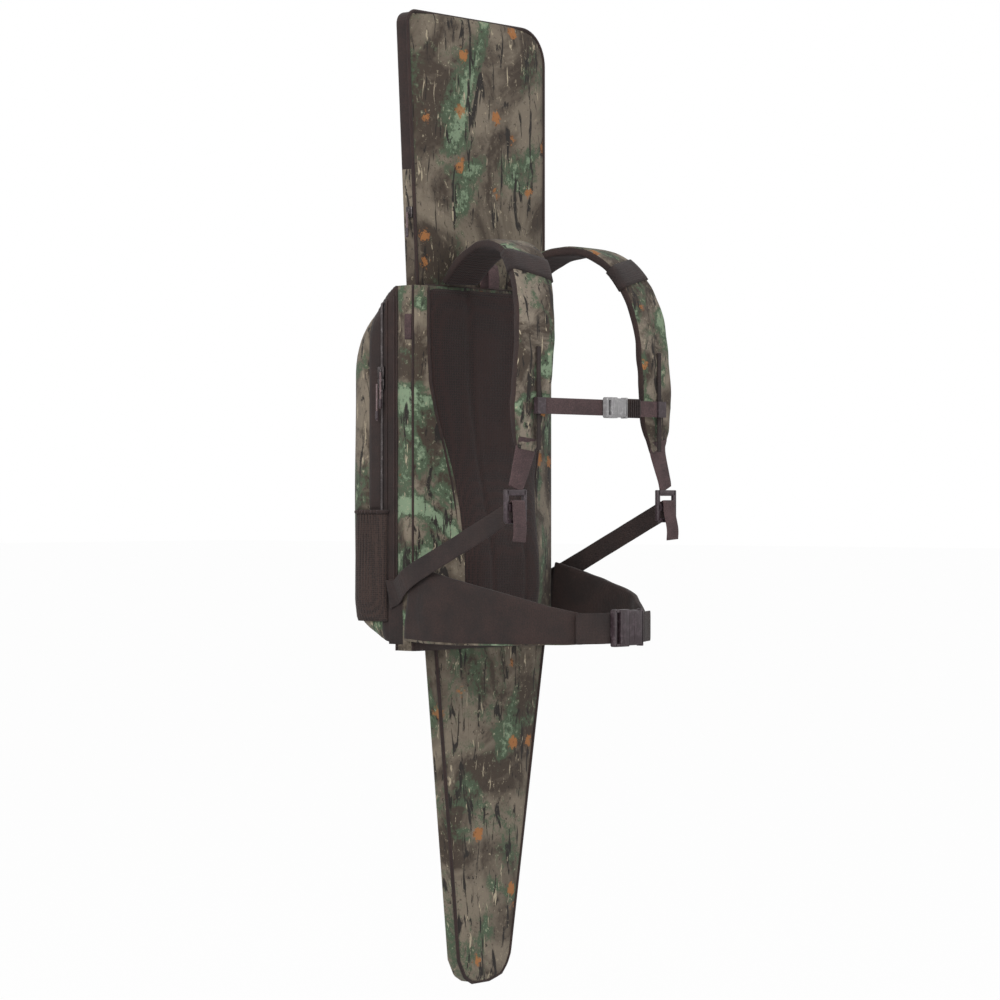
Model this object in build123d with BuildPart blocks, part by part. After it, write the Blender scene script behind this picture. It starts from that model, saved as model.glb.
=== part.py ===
"""Hunting backpack with a long gun case held in a sleeve behind the harness, in millimetres.

The origin is the inside top of the hang loop, +Z up, the harness on -Y and the bag on +Y.
"""

import os
from math import tan, atan2

from build123d import *

os.makedirs("parts", exist_ok=True)

# ---- Driving dimensions -------------------------------------------------------------
running_gap = 0.3            # between pieces that move on each other
loop_drop = 30.0             # from the inside top of the hang loop to the pack's top edge
loop_inside = 12.0
loop_width = 20.0
webbing_thickness = 2.0

pack_width = 270.0
pack_height = 458.0
panel_wall = 3.0             # padded cloth panel
bag_wall = 2.5               # plain cloth wall
bag_depth = 92.0             # from the main back wall to the front of the bag
bag_corner_radius = 45.0
gusset_depth = 22.0          # each brown gusset beside the main zip
door_height = 284.0

case_thickness = 26.0
case_clearance = 0.5
case_wall = 5.0
case_top = 314.0             # above the origin
case_bottom = -916.0
case_liner = 3.2
flap_line = 35.0             # height of the fold in the case's front

pad_thickness = 17.0
pad_bulge = 43.0
pad_top_half = 120.0
pad_bottom_half = 77.0
sheet_thickness = 1.5

strap_width = 65.0
strap_thickness = 14.0
strap_reach = 180.0          # from the sleeve's front wall to the strap's middle
strap_end = -236.0
tail_width = 28.0
tail_end = -286.0
band_width = 18.0
band_thickness = 2.0
band_height = -22.0

rail_x = 121.0
rail_width = 6.0
rail_top = -112.0
rail_bottom = -238.0
sternum_height = -184.0
sternum_webbing = 20.0

lock_width = 40.0
lock_height = 39.0
lock_thickness = 5.0
lock_x = 151.0
lower_webbing = 25.0
webbing_stand_off = 17.0     # the lower webbing passes this far outside the pack's side

wing_thickness = 12.0
wing_root_height = 98.0
belt_height = 38.0
belt_bottom = -476.0
belt_reach = 226.0           # from the sleeve's front wall to the belt's webbing
wing_end = 58.0
hip_buckle_half = 28.0
sternum_buckle_half = 20.0

pocket_depth = 12.0
pocket_height = 138.0
pocket_bottom = -452.0
slider_length = 14.0
slider_thickness = 5.0
pull_length = 46.0
pull_thickness = 2.8

# ---- Planes worked out from them ----------------------------------------------------
wall_y = loop_inside / 2 + webbing_thickness
top_z = -loop_drop
bottom_z = top_z - pack_height
half_width = pack_width / 2
channel_front = wall_y + panel_wall
channel_back = channel_front + case_thickness + 2 * case_clearance
bag_back = channel_back + panel_wall
zip_y = bag_back + gusset_depth
panel_y = zip_y + gusset_depth
bag_front = bag_back + bag_depth
door_bottom = top_z - door_height
case_front = channel_front + case_clearance
case_back = case_front + case_thickness
pad_back = wall_y - sheet_thickness


def write(builder, name):
    """Label a finished piece and write its STEP file."""
    builder.part.label = name
    export_step(builder.part, f"parts/{name}.step")


def block(name, low, high):
    """Write a plain panel between two corners."""
    size = [b - a for a, b in zip(low, high)]
    with BuildPart() as panel:
        with BuildSketch(Plane.XY.offset(low[2])):
            with Locations(((low[0] + high[0]) / 2, (low[1] + high[1]) / 2)):
                Rectangle(size[0], size[1])
        extrude(amount=size[2])
    write(panel, name)


def side_block(name, side, near, far, y_span, z_span):
    """Write a panel on one side, between two distances from the middle plane."""
    x_span = sorted((side * near, side * far))
    block(name, (x_span[0], y_span[0], z_span[0]), (x_span[1], y_span[1], z_span[1]))


# ---- Bag ----------------------------------------------------------------------------
def bag_solid(inset):
    """The bag's outer form, or the form inside its wall when inset is the wall."""
    top = top_z - inset
    front = bag_front - inset
    with BuildPart() as form:
        with BuildSketch(Plane.YZ):
            with BuildLine():
                Line((bag_back, bottom_z + 8 + inset), (bag_back, top))
                ThreePointArc((bag_back, top), (front - 27, top - 38), (front, top - 115))
                Line((front, top - 115), (front, bottom_z + 62 + inset))
                ThreePointArc(
                    (front, bottom_z + 62 + inset),
                    (front - 14, bottom_z + 34 + inset),
                    (front - 48, bottom_z + 20 + inset),
                )
                Line((front - 48, bottom_z + 20 + inset), (bag_back, bottom_z + 8 + inset))
            make_face()
        extrude(amount=half_width - inset, both=True)
        with BuildSketch(Plane.XY.offset(bottom_z)) as plan:
            with Locations((0, (bag_back + front) / 2)):
                Rectangle(pack_width - 2 * inset, front - bag_back)
            fillet(plan.vertices().group_by(Axis.Y)[-1], bag_corner_radius - inset)
        extrude(amount=pack_height, mode=Mode.INTERSECT)
    return form.part


def bag_piece(name, y_span, z_span):
    """Write the stretch of the bag's wall between two depths and two heights."""
    with BuildPart() as piece:
        add(bag_outer)
        add(bag_inner, mode=Mode.SUBTRACT)
        with BuildSketch(Plane.XY.offset(z_span[0])):
            with Locations((0, (y_span[0] + y_span[1]) / 2)):
                Rectangle(2 * pack_width, y_span[1] - y_span[0])
        extrude(amount=z_span[1] - z_span[0], mode=Mode.INTERSECT)
    write(piece, name)


bag_outer = bag_solid(0)
bag_inner = bag_solid(bag_wall)
bag_piece("gusset_rear", (bag_back, zip_y), (bottom_z, top_z))
bag_piece("lower_tub", (zip_y, bag_front), (bottom_z, door_bottom - running_gap))
bag_piece("gusset_front", (zip_y + running_gap, panel_y), (door_bottom, top_z))
bag_piece("front_panel", (panel_y, bag_front), (door_bottom, top_z))
block("main_back_wall", (-half_width, channel_back, bottom_z), (half_width, bag_back, top_z))
block("sleeve_front_wall", (-half_width, wall_y, bottom_z), (half_width, channel_front, top_z))
block("frame_sheet", (-70, pad_back, bottom_z + 20), (70, wall_y, top_z - 20))

for side, word in ((-1, "left"), (1, "right")):
    side_block(
        f"sleeve_gusset_{word}", side, half_width - bag_wall, half_width,
        (channel_front, channel_back), (bottom_z, top_z),
    )
    side_block(
        f"side_tab_{word}", side, half_width, half_width + webbing_thickness,
        (channel_front + 2, channel_front + 14), (top_z - 68, top_z - 36),
    )
    side_block(
        f"anchor_patch_{word}", side, half_width, half_width + webbing_thickness,
        (channel_front + 9, zip_y - 12), (bottom_z + 8, bottom_z + 90),
    )
    with BuildPart() as pocket:
        pocket_side = side * (half_width + pocket_depth / 2)
        pocket_rear = zip_y - 10
        pocket_front = bag_front - bag_corner_radius / 2
        with BuildSketch(Plane.XY.offset(pocket_bottom)):
            with Locations((pocket_side, (pocket_rear + pocket_front) / 2)):
                Rectangle(pocket_depth, pocket_front - pocket_rear)
        extrude(amount=pocket_height)
        with BuildSketch(Plane.XY.offset(pocket_bottom + webbing_thickness)):
            with Locations((pocket_side - side * webbing_thickness, (pocket_rear + pocket_front) / 2)):
                Rectangle(pocket_depth, pocket_front - pocket_rear - 2 * webbing_thickness)
        extrude(amount=pocket_height, mode=Mode.SUBTRACT)
    write(pocket, f"mesh_pocket_{word}")

with BuildPart() as back_pad:
    with BuildSketch(Plane.YZ):
        with BuildLine():
            Polyline(
                (pad_back, top_z),
                (pad_back - pad_thickness, top_z),
                (pad_back - pad_thickness, top_z - 250),
                (pad_back - pad_bulge, top_z - 375),
                (pad_back - pad_bulge, top_z - 410),
                (pad_back - pad_thickness, bottom_z + 12),
                (pad_back, bottom_z + 12),
                close=True,
            )
        make_face()
    extrude(amount=half_width, both=True)
    with BuildSketch(Plane.XZ):
        with BuildLine():
            Polyline(
                (-pad_top_half, top_z),
                (pad_top_half, top_z),
                (pad_top_half, top_z - 110),
                (pad_bottom_half, top_z - 260),
                (pad_bottom_half, bottom_z),
                (-pad_bottom_half, bottom_z),
                (-pad_bottom_half, top_z - 260),
                (-pad_top_half, top_z - 110),
                close=True,
            )
        make_face()
    extrude(amount=2 * pack_width, both=True, mode=Mode.INTERSECT)
write(back_pad, "back_pad")

with BuildPart() as hang_loop:
    with BuildSketch(Plane.YZ):
        with Locations((0, (webbing_thickness - loop_drop) / 2)):
            RectangleRounded(
                loop_inside + 2 * webbing_thickness, loop_drop + webbing_thickness,
                loop_inside / 2 + webbing_thickness - 1,
            )
        with Locations((0, (webbing_thickness - loop_drop) / 2)):
            RectangleRounded(
                loop_inside, loop_drop - webbing_thickness,
                loop_inside / 2 - 1, mode=Mode.SUBTRACT,
            )
    extrude(amount=loop_width / 2, both=True)
write(hang_loop, "hang_loop")

# ---- Main zip -----------------------------------------------------------------------
slider_top = {"upper": top_z - 101.0, "lower": top_z - 101.0 - slider_length - 1.0}


def zip_pull(name, pivot, drop):
    """Write a cord pull that hangs from a round eye and swings about the Y axis."""
    with BuildPart() as pull:
        with BuildSketch(Plane.XZ.offset(-pivot[1] - pull_thickness / 2)):
            with Locations((pivot[0], pivot[2])):
                Circle(pull_thickness / 2)
            with Locations((pivot[0], pivot[2] - drop / 2)):
                Rectangle(pull_thickness, drop)
        extrude(amount=pull_thickness)
    write(pull, name)


pull_x = -(half_width + running_gap + slider_thickness + running_gap + pull_thickness / 2)
for word, top in slider_top.items():
    side_block(
        f"zip_slider_{word}", -1, half_width + running_gap, half_width + running_gap + slider_thickness,
        (zip_y - 5, zip_y + 5), (top - slider_length, top),
    )
    pull_y = zip_y - 3 if word == "upper" else zip_y + 3
    zip_pull(f"zip_pull_{word}", (pull_x, pull_y, top - slider_length / 2), pull_length)


# ---- Gun case -----------------------------------------------------------------------
def case_outline(inset):
    """The case's outline seen from the front, drawn in by a wall."""
    with BuildSketch() as outline:
        with BuildLine():
            Polyline(
                (-141, case_top),
                (127, case_top),
                (127, -488),
                (58, -885),
                (52, case_bottom + 18),
                (20, case_bottom),
                (-20, case_bottom),
                (-43, case_bottom + 30),
                (-86, -488),
                (-121, top_z),
                close=True,
            )
        make_face()
        if inset:
            offset(amount=-inset, kind=Kind.INTERSECTION, mode=Mode.REPLACE)
    return outline.sketch


def case_piece(name, y_span, z_span, inset, hollow=0.0):
    """Write a stretch of the case between two depths and two heights, hollowed from the front."""
    with BuildPart() as piece:
        with BuildSketch(Plane.XZ.offset(-y_span[0])):
            add(case_outline(inset))
        extrude(amount=-(y_span[1] - y_span[0]))
        if not inset and z_span[1] > case_top - 1:
            corner_edges = piece.edges().filter_by(Axis.Y).group_by(Axis.Z)[-1]
            fillet(corner_edges.sort_by(Axis.X)[-1], 45)
        if hollow:
            with BuildSketch(Plane.XZ.offset(-y_span[0])):
                add(case_outline(case_wall))
            extrude(amount=-hollow, mode=Mode.SUBTRACT)
        with BuildSketch(Plane.XY.offset(z_span[0])):
            with Locations((0, case_back)):
                Rectangle(2 * pack_width, 4 * case_thickness)
        extrude(amount=z_span[1] - z_span[0], mode=Mode.INTERSECT)
    write(piece, name)


case_span = (case_bottom - 1, case_top + 1)
case_mouth = case_front + case_wall
case_floor = case_back - case_wall
case_piece("gun_case_shell", (case_mouth, case_back), case_span, 0, case_floor - case_mouth)
case_piece("gun_case_front", (case_front, case_mouth), (case_bottom - 1, flap_line), 0)
case_piece(
    "gun_case_flap", (case_front, case_mouth - running_gap), (flap_line + running_gap, case_top + 1), 0
)
case_piece("gun_case_liner", (case_floor - case_liner, case_floor), case_span, case_wall + 25)

case_slider_z = flap_line + 20.0
case_edge_lean = atan2(20.0, case_top - top_z)
case_edge_x = -121.0 - (case_slider_z - top_z) * tan(case_edge_lean)
case_slider_far = -case_edge_x + 1.2 + slider_thickness
side_block(
    "gun_case_slider", -1, -case_edge_x + 0.9, case_slider_far,
    (case_mouth + 1, case_mouth + 11), (case_slider_z, case_slider_z + slider_length),
)
zip_pull(
    "gun_case_pull",
    (-case_slider_far - running_gap - pull_thickness / 2, case_mouth + 6, case_slider_z + slider_length / 2),
    pull_length * 0.7,
)


# ---- Shoulder straps ----------------------------------------------------------------
def strap_form(side, thickness, width, low_z):
    """A shoulder strap: its side profile, trimmed by its plan and by its front outline."""
    face_y = wall_y - strap_reach
    half = width / 2
    with BuildPart() as form:
        with BuildSketch(Plane.YZ):
            with BuildLine():
                FilletPolyline(
                    (wall_y - 10, top_z + strap_thickness / 2 + 2 * running_gap),
                    (wall_y - 55, 12),
                    (wall_y - 108, 21),
                    (face_y + 16, -32),
                    (face_y, -107),
                    (face_y + 4, -260),
                    radius=24,
                )
                offset(amount=thickness / 2, side=Side.BOTH)
            make_face()
        extrude(amount=side * 200)
        with BuildSketch(Plane.XY.offset(-400)):
            with BuildLine():
                Polyline(
                    (side * (56 - half), 60),
                    (side * (56 + half), 60),
                    (side * (60 + half), wall_y - 10),
                    (side * (80 + half), wall_y - 100),
                    (side * 175, wall_y - 163),
                    (side * 175, -300),
                    (side * 70, -300),
                    (side * (102 - half), wall_y - 150),
                    (side * (80 - half), wall_y - 100),
                    close=True,
                )
            make_face()
        extrude(amount=600, mode=Mode.INTERSECT)
        with BuildSketch(Plane.XZ):
            with BuildLine():
                Polyline(
                    (side * 10, 80),
                    (side * (102 + half), 80),
                    (side * (107 + half), -10),
                    (side * (111 + half), -40),
                    (side * (126 + half), -190),
                    (side * (133 + tail_width / 2), low_z),
                    (side * (133 - tail_width / 2), low_z),
                    (side * (126 - half), -190),
                    (side * (111 - half), -40),
                    (side * 10, -20),
                    close=True,
                )
            make_face()
        extrude(amount=400, both=True, mode=Mode.INTERSECT)
    return form.part


def thin_band(name, side, plan_path, plan_thickness, side_outline, x_span=None):
    """Write a flat band: a plan path with a thickness, trimmed by its outline seen from the side."""
    with BuildPart() as band:
        with BuildSketch(Plane.XY.offset(-600)):
            with BuildLine():
                FilletPolyline(*[(side * x, y) for x, y in plan_path], radius=20)
                offset(amount=plan_thickness / 2, side=Side.BOTH)
            make_face()
        extrude(amount=800)
        with BuildSketch(Plane.YZ):
            with BuildLine():
                Polyline(*side_outline, close=True)
            make_face()
        extrude(amount=400, both=True, mode=Mode.INTERSECT)
        if x_span:
            with BuildSketch(Plane.XY.offset(-600)):
                with Locations((side * (x_span[0] + x_span[1]) / 2, 0)):
                    Rectangle(x_span[1] - x_span[0], 1000)
            extrude(amount=800, mode=Mode.INTERSECT)
    write(band, name)


strap_y = wall_y - strap_reach + 2
rail_y = wall_y - strap_reach - strap_thickness / 2 - running_gap
sternum_y = rail_y - webbing_thickness - running_gap
lock_y = strap_y + 2

for side, word in ((-1, "left"), (1, "right")):
    with BuildPart() as shoulder_strap:
        add(strap_form(side, strap_thickness, strap_width, strap_end))
    write(shoulder_strap, f"shoulder_strap_{word}")

    with BuildPart() as strap_band:
        add(strap_form(side, strap_thickness + 2 * (band_thickness + running_gap), strap_width, strap_end))
        add(strap_form(side, strap_thickness + 2 * running_gap, strap_width, strap_end), mode=Mode.SUBTRACT)
        with BuildSketch(Plane.XZ.offset(-wall_y + 110)):
            with Locations((0, band_height)):
                Rectangle(4 * pack_width, band_width)
        extrude(amount=200, mode=Mode.INTERSECT)
    write(strap_band, f"strap_band_{word}")

    with BuildPart() as strap_tail:
        with BuildSketch(Plane.XZ.offset(-strap_y - webbing_thickness)):
            with BuildLine():
                Polyline(
                    (side * (133 - tail_width / 2), strap_end),
                    (side * (133 + tail_width / 2), strap_end),
                    (side * (lock_x + 12), tail_end),
                    (side * (lock_x - 12), tail_end),
                    close=True,
                )
            make_face()
        extrude(amount=2 * webbing_thickness)
    write(strap_tail, f"strap_tail_{word}")

    rail_span = sorted((side * (rail_x - rail_width / 2), side * (rail_x + rail_width / 2)))
    block(
        f"sternum_rail_{word}", (rail_span[0], rail_y - webbing_thickness, rail_bottom),
        (rail_span[1], rail_y, rail_top),
    )
    with BuildPart() as sternum_slider:
        with BuildSketch(Plane.XY.offset(sternum_height - sternum_webbing / 2)):
            with Locations((side * rail_x, sternum_y + (0.1 - webbing_thickness) / 2)):
                Rectangle(rail_width + 10, 3 * webbing_thickness)
            with Locations((side * rail_x, rail_y)):
                Rectangle(rail_width + 2 * running_gap, 2 * (webbing_thickness + running_gap), mode=Mode.SUBTRACT)
        extrude(amount=sternum_webbing)
    write(sternum_slider, f"sternum_slider_{word}")

    with BuildPart() as ladder_lock:
        lock_axis_z = tail_end - running_gap - lock_thickness / 2
        with BuildSketch(Plane.YZ.offset(side * (lock_x - side * lock_width / 2))):
            with Locations((lock_y, lock_axis_z)):
                Circle(lock_thickness / 2)
            with Locations((lock_y, lock_axis_z - lock_height / 2)):
                Rectangle(lock_thickness, lock_height)
        extrude(amount=lock_width)
        with BuildSketch(Plane.XZ.offset(-lock_y)):
            with Locations((side * lock_x, lock_axis_z - 9), (side * lock_x, lock_axis_z - 27)):
                Rectangle(lock_width - 12, 8)
        extrude(amount=lock_thickness, both=True, mode=Mode.SUBTRACT)
    write(ladder_lock, f"ladder_lock_{word}")

    patch_face = half_width + webbing_thickness
    band_start = lock_y + lock_thickness / 2 + running_gap
    thin_band(
        f"lower_webbing_{word}", side,
        (
            (lock_x + 1, lock_y + 2),
            (half_width + webbing_stand_off, channel_front + 1),
            (patch_face + running_gap + webbing_thickness / 2, channel_back - 1),
            (patch_face + running_gap + webbing_thickness / 2, channel_back + 14),
        ),
        webbing_thickness,
        (
            (band_start, -lower_webbing / 2 - 312),
            (band_start, lower_webbing / 2 - 312),
            (zip_y - 14, lower_webbing / 2 - 418),
            (zip_y - 14, -lower_webbing / 2 - 418),
        ),
    )

    wing_root = (half_width + running_gap + wing_thickness / 2, channel_front + 4)
    thin_band(
        f"hip_wing_{word}", side,
        (
            wing_root,
            (half_width + 9, wall_y - 60),
            (121, wall_y - 145),
            (66, wall_y - belt_reach + 16),
            (30, wall_y - belt_reach - 4),
        ),
        wing_thickness,
        (
            (channel_front + 4, belt_bottom - 2),
            (channel_front + 4, belt_bottom - 2 + wing_root_height),
            (wall_y - belt_reach - 40, belt_bottom + belt_height),
            (wall_y - belt_reach - 40, belt_bottom),
        ),
        (wing_end, 200),
    )
    webbing_near = 2 if side < 0 else hip_buckle_half + running_gap
    thin_band(
        f"hip_webbing_{word}", side,
        (
            (110, wall_y - belt_reach + 44),
            (66, wall_y - belt_reach + 16),
            (40, wall_y - belt_reach + 1.5),
            (-20, wall_y - belt_reach + 1.5),
        ),
        webbing_thickness,
        (
            (wall_y, belt_bottom),
            (wall_y, belt_bottom + belt_height),
            (-400, belt_bottom + belt_height),
            (-400, belt_bottom),
        ),
        (webbing_near, wing_end),
    )

# ---- Sternum strap ------------------------------------------------------------------
sternum_low = sternum_height - sternum_webbing / 2
sternum_high = sternum_height + sternum_webbing / 2
slider_inner = rail_x - rail_width / 2 - 5
adjuster_start = 2 * sternum_buckle_half
adjuster_end = adjuster_start + 32
block(
    "sternum_webbing_left", (-slider_inner, sternum_y - webbing_thickness, sternum_low),
    (18, sternum_y, sternum_high),
)
block(
    "sternum_webbing_right", (adjuster_start + 1, sternum_y - webbing_thickness, sternum_low),
    (slider_inner, sternum_y, sternum_high),
)
block(
    "sternum_adjuster",
    (adjuster_start, sternum_y - webbing_thickness - 6, sternum_low - 2),
    (adjuster_end, sternum_y - webbing_thickness, sternum_high + 2),
)


# ---- Side-release buckles -----------------------------------------------------------
def buckle(prefix, middle_x, half_length, back_y, middle_z, height):
    """Write a side-release buckle: the male body on the left, two prongs, the female body."""
    depth = 9.0
    shell = 1.6
    prong_root = 3.0
    half = height / 2
    front_y = back_y - depth
    with BuildPart() as male:
        with BuildSketch(Plane.XZ.offset(-back_y)):
            with Locations((middle_x - half_length / 2 - running_gap / 2, middle_z)):
                Rectangle(half_length - running_gap, height)
            with Locations((middle_x - half_length + 5, middle_z)):
                Rectangle(3, height - 6, mode=Mode.SUBTRACT)
        extrude(amount=depth)
    write(male, f"{prefix}_male")
    with BuildPart() as female:
        with BuildSketch(Plane.XZ.offset(-back_y)):
            with Locations((middle_x + half_length / 2, middle_z)):
                Rectangle(half_length, height)
        extrude(amount=depth)
        with BuildSketch(Plane.XY.offset(middle_z - half)):
            with Locations((middle_x + half_length / 2 - shell, (back_y + front_y) / 2)):
                Rectangle(half_length - 2 * shell, depth - 2 * shell)
        extrude(amount=height, mode=Mode.SUBTRACT)
        with BuildSketch(Plane.XY.offset(middle_z - half)):
            with Locations((middle_x, (back_y + front_y) / 2)):
                Rectangle(half_length, depth - 2 * shell)
        extrude(amount=height, mode=Mode.SUBTRACT)
    write(female, f"{prefix}_female")
    for sign, word in ((1, "upper"), (-1, "lower")):
        pivot_x = middle_x + prong_root
        pivot_z = middle_z + sign * (half - prong_root - 1)
        with BuildPart() as prong:
            with BuildSketch(Plane.XZ.offset(-back_y + shell + running_gap)):
                with Locations((pivot_x, pivot_z)):
                    Circle(prong_root)
                with Locations((pivot_x + half_length * 0.3, pivot_z + sign * 0.5)):
                    Rectangle(half_length * 0.6, 2 * prong_root - 1)
            extrude(amount=depth - 2 * shell - 2 * running_gap)
        write(prong, f"{prefix}_prong_{word}")


buckle(
    "sternum_buckle", sternum_buckle_half, sternum_buckle_half,
    sternum_y - webbing_thickness - running_gap, sternum_height, sternum_webbing + 6,
)
buckle(
    "hip_buckle", 0, hip_buckle_half,
    wall_y - belt_reach + 1.5 - webbing_thickness / 2 - running_gap,
    belt_bottom + belt_height / 2, belt_height + 8,
)
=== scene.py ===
"""A hunting backpack with a gun case in its back sleeve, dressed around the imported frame."""

import logging
from dataclasses import dataclass, field
from enum import Enum
from math import cos, pi, sin, sqrt
from typing import Callable, Sequence

import bmesh
import bpy
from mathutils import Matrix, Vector, noise


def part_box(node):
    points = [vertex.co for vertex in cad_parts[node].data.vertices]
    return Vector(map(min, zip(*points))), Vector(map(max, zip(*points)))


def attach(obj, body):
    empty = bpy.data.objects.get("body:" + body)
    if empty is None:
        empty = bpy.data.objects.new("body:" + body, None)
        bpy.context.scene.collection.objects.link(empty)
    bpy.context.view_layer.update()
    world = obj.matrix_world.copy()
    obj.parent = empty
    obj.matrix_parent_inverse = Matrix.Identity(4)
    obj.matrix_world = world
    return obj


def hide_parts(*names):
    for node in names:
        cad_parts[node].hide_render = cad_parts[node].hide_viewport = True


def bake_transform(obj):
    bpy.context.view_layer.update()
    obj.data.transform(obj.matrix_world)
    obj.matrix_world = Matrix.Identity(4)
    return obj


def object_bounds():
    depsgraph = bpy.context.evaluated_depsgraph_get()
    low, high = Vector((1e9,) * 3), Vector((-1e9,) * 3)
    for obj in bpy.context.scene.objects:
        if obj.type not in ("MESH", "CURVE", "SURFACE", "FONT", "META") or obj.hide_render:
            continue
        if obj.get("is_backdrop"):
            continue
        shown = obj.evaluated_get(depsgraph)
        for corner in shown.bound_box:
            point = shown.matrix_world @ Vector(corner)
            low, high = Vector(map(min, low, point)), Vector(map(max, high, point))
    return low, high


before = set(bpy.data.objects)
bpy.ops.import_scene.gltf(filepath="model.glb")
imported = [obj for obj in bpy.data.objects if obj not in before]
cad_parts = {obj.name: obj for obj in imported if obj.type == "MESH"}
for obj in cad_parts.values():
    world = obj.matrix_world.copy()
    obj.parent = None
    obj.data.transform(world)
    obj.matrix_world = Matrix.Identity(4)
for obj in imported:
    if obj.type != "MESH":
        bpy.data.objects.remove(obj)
CAD_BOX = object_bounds()

LOG = logging.getLogger("backpack")
MM = 0.001
WAVE_TURN = 20.0  # radians that the wave texture turns per unit, at scale 1
Point = tuple[float, float, float]


class Side(Enum):
    """The two sides of the pack, as seen from the harness."""

    LEFT = -1
    RIGHT = 1

    @property
    def word(self) -> str:
        """The side's name as the nodes spell it."""
        return self.name.lower()


# ---- Node helpers -------------------------------------------------------------------
def to_linear(code: str) -> tuple[float, float, float, float]:
    """Turn an sRGB hex colour into Blender's linear colour.

    Args:
        code: six hex digits after a hash.

    Returns:
        Linear red, green, blue and full alpha.
    """
    channels = [int(code[i:i + 2], 16) / 255 for i in (1, 3, 5)]
    linear = [c / 12.92 if c <= 0.04045 else ((c + 0.055) / 1.055) ** 2.4 for c in channels]
    return (*linear, 1.0)


def add_node(tree: bpy.types.NodeTree, kind: str, links: dict | None = None, **settings) -> bpy.types.Node:
    """Add one shader node.

    Args:
        tree: the material's tree.
        kind: the node's type name without the ShaderNode prefix.
        links: input name or number to an output socket or a constant.
        settings: attributes of the node.

    Returns:
        The new node.
    """
    made = tree.nodes.new("ShaderNode" + kind)
    for key, value in settings.items():
        setattr(made, key, value)
    for key, value in (links or {}).items():
        if isinstance(value, bpy.types.NodeSocket):
            tree.links.new(value, made.inputs[key])
        else:
            made.inputs[key].default_value = value
    return made


def new_material(name: str, roughness: float, **sockets) -> tuple[bpy.types.Material, bpy.types.Node]:
    """Make a material with one Principled shader.

    Args:
        name: the material's name.
        roughness: the shader's roughness.
        sockets: other constant inputs, with underscores for spaces.

    Returns:
        The material and its shader.
    """
    made = bpy.data.materials.new(name)
    made.use_nodes = True
    shader = made.node_tree.nodes["Principled BSDF"]
    shader.inputs["Roughness"].default_value = roughness
    for key, value in sockets.items():
        shader.inputs[key.replace("_", " ")].default_value = value
    return made, shader


def ramp(tree: bpy.types.NodeTree, fac, start: float, end: float) -> bpy.types.NodeSocket:
    """Turn a value into a soft mask.

    Args:
        tree: the material's tree.
        fac: the value.
        start: where the mask is 0.
        end: where the mask is 1.

    Returns:
        The mask's socket.
    """
    made = add_node(tree, "MapRange", {"Value": fac, "From Min": start, "From Max": end})
    return made.outputs["Result"]


def mix(tree: bpy.types.NodeTree, fac, first, second, blend: str = "MIX") -> bpy.types.NodeSocket:
    """Mix two colours.

    Args:
        tree: the material's tree.
        fac: the share of the second colour.
        first: colour or socket.
        second: colour or socket.
        blend: the way of mixing.

    Returns:
        The mixed colour's socket.
    """
    made = add_node(tree, "Mix", {0: fac, 6: first, 7: second}, data_type="RGBA", blend_type=blend)
    return made.outputs[2]


def thread_bump(
    tree: bpy.types.NodeTree, shader: bpy.types.Node, coords, spacing_mm: float, depth: float, slub
) -> None:
    """Give a shader the bump of a plain weave and of soft creases.

    Args:
        tree: the material's tree.
        shader: its Principled shader.
        coords: object coordinates.
        spacing_mm: distance between two threads.
        depth: strength of the bump.
        slub: a noise that stands for creases.
    """
    scale = 2 * pi / (spacing_mm * MM) / WAVE_TURN
    waves = [
        add_node(tree, "TexWave", {"Vector": coords, "Scale": scale, "Distortion": 0.4}, bands_direction=d)
        for d in ("X", "Y", "Z")
    ]
    pair = add_node(tree, "Math", {0: waves[0].outputs["Fac"], 1: waves[1].outputs["Fac"]}, operation="ADD")
    threads = add_node(tree, "Math", {0: pair.outputs[0], 1: waves[2].outputs["Fac"]}, operation="ADD")
    fine = add_node(
        tree, "Bump", {"Height": threads.outputs[0], "Strength": depth, "Distance": 0.25 * MM}
    )
    crease = add_node(
        tree, "Bump",
        {"Height": slub, "Strength": 0.35, "Distance": 4 * MM, "Normal": fine.outputs["Normal"]},
    )
    tree.links.new(crease.outputs["Normal"], shader.inputs["Normal"])


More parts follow.
